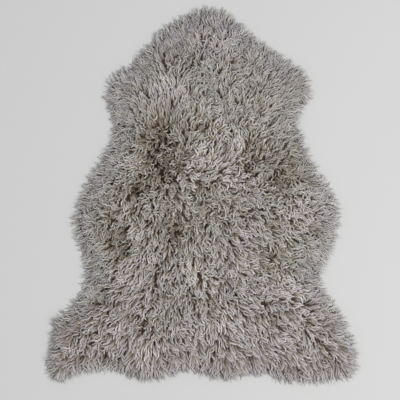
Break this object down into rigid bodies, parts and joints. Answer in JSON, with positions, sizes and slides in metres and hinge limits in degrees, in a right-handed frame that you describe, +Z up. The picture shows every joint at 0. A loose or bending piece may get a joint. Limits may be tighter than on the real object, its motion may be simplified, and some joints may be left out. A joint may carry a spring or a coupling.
{
  "type": "sheepskin rug",
  "caption": "Flat one-piece sheepskin rug in the shape of a whole pelt: tanned skin below, thick shaggy wool above, with wool locks that hang over the edge and rest on the floor.",
  "frame": {"origin": "on the floor, under the middle of the rug's box", "axes": "+Y towards the neck end, +X to the right as seen from above with the neck away from the viewer, +Z up out of the wool"},
  "size_m": [0.82, 0.9964, 0.0504],
  "materials": {
    "wool": "long wavy natural wool in clumped locks, matt, pale grey-beige tips over brown roots",
    "tanned_leather": "tanned flesh side of the skin, matt suede nap, worn by the finer skin piece under the wool"
  },
  "bodies": {
    "root": {"sheepskin": "wool"}
  },
  "joints": []
}
